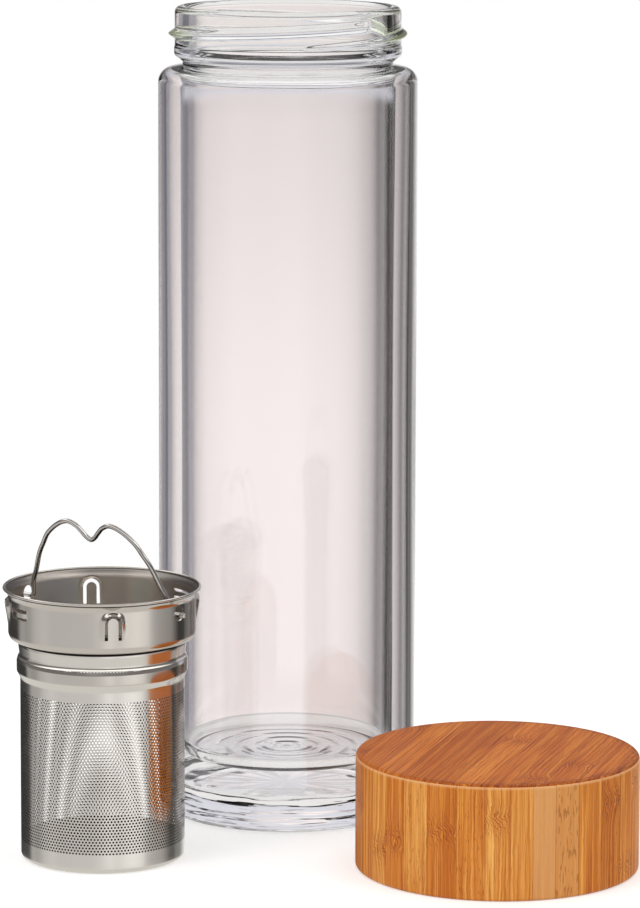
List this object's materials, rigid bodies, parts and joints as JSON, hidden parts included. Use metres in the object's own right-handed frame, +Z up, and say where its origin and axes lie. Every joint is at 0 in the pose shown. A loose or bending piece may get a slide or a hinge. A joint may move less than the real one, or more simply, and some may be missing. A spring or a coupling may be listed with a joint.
{
  "type": "glass tea infuser bottle",
  "caption": "Double-walled glass bottle with a perforated steel tea infuser on a wire bail and a screw lid of laminated bamboo, standing apart side by side.",
  "frame": {"origin": "on the table, in the middle of the rectangle that bottle, infuser and lid cover as they stand side by side", "axes": "+Z up along the bottle, +Y away from the viewer with the bottle standing behind the other two, +X to the right towards the lid"},
  "size_m": [0.1542, 0.1272, 0.204],
  "materials": {
    "clear_glass": "clear, polished",
    "stainless_steel": "bright, finely brushed",
    "perforated_steel": "etched with fine round holes",
    "wire_steel": "bright drawn wire",
    "bamboo": "satin, caramelised strips",
    "liner_plastic": "satin moulded",
    "silicone": "matt, translucent white"
  },
  "bodies": {
    "bottle": {"inner_vessel": "clear_glass", "outer_wall": "clear_glass", "glass_base": "clear_glass"},
    "infuser": {"infuser_collar": "stainless_steel", "infuser_tube": "perforated_steel", "infuser_floor": "stainless_steel"},
    "bail": {"infuser_handle": "wire_steel"},
    "lid": {"bamboo_lid": "bamboo", "lid_insert": "liner_plastic", "lid_seal": "silicone"}
  },
  "joints": [
    {"name": "infuser_lift", "type": "slide", "parent": "bottle", "child": "infuser", "axis": [0, 0, 1], "range_m": [0, 0.22]},
    {"name": "bail_swing", "type": "hinge", "parent": "infuser", "child": "bail", "pos_m": [-0.05303, -0.02019, 0.062], "axis": [0.8387, -0.5446, 0], "range_deg": [-89.5, 60]},
    {"name": "lid_lift", "type": "slide", "parent": "bottle", "child": "lid", "axis": [0, 0, 1], "range_m": [0, 0.22]}
  ]
}
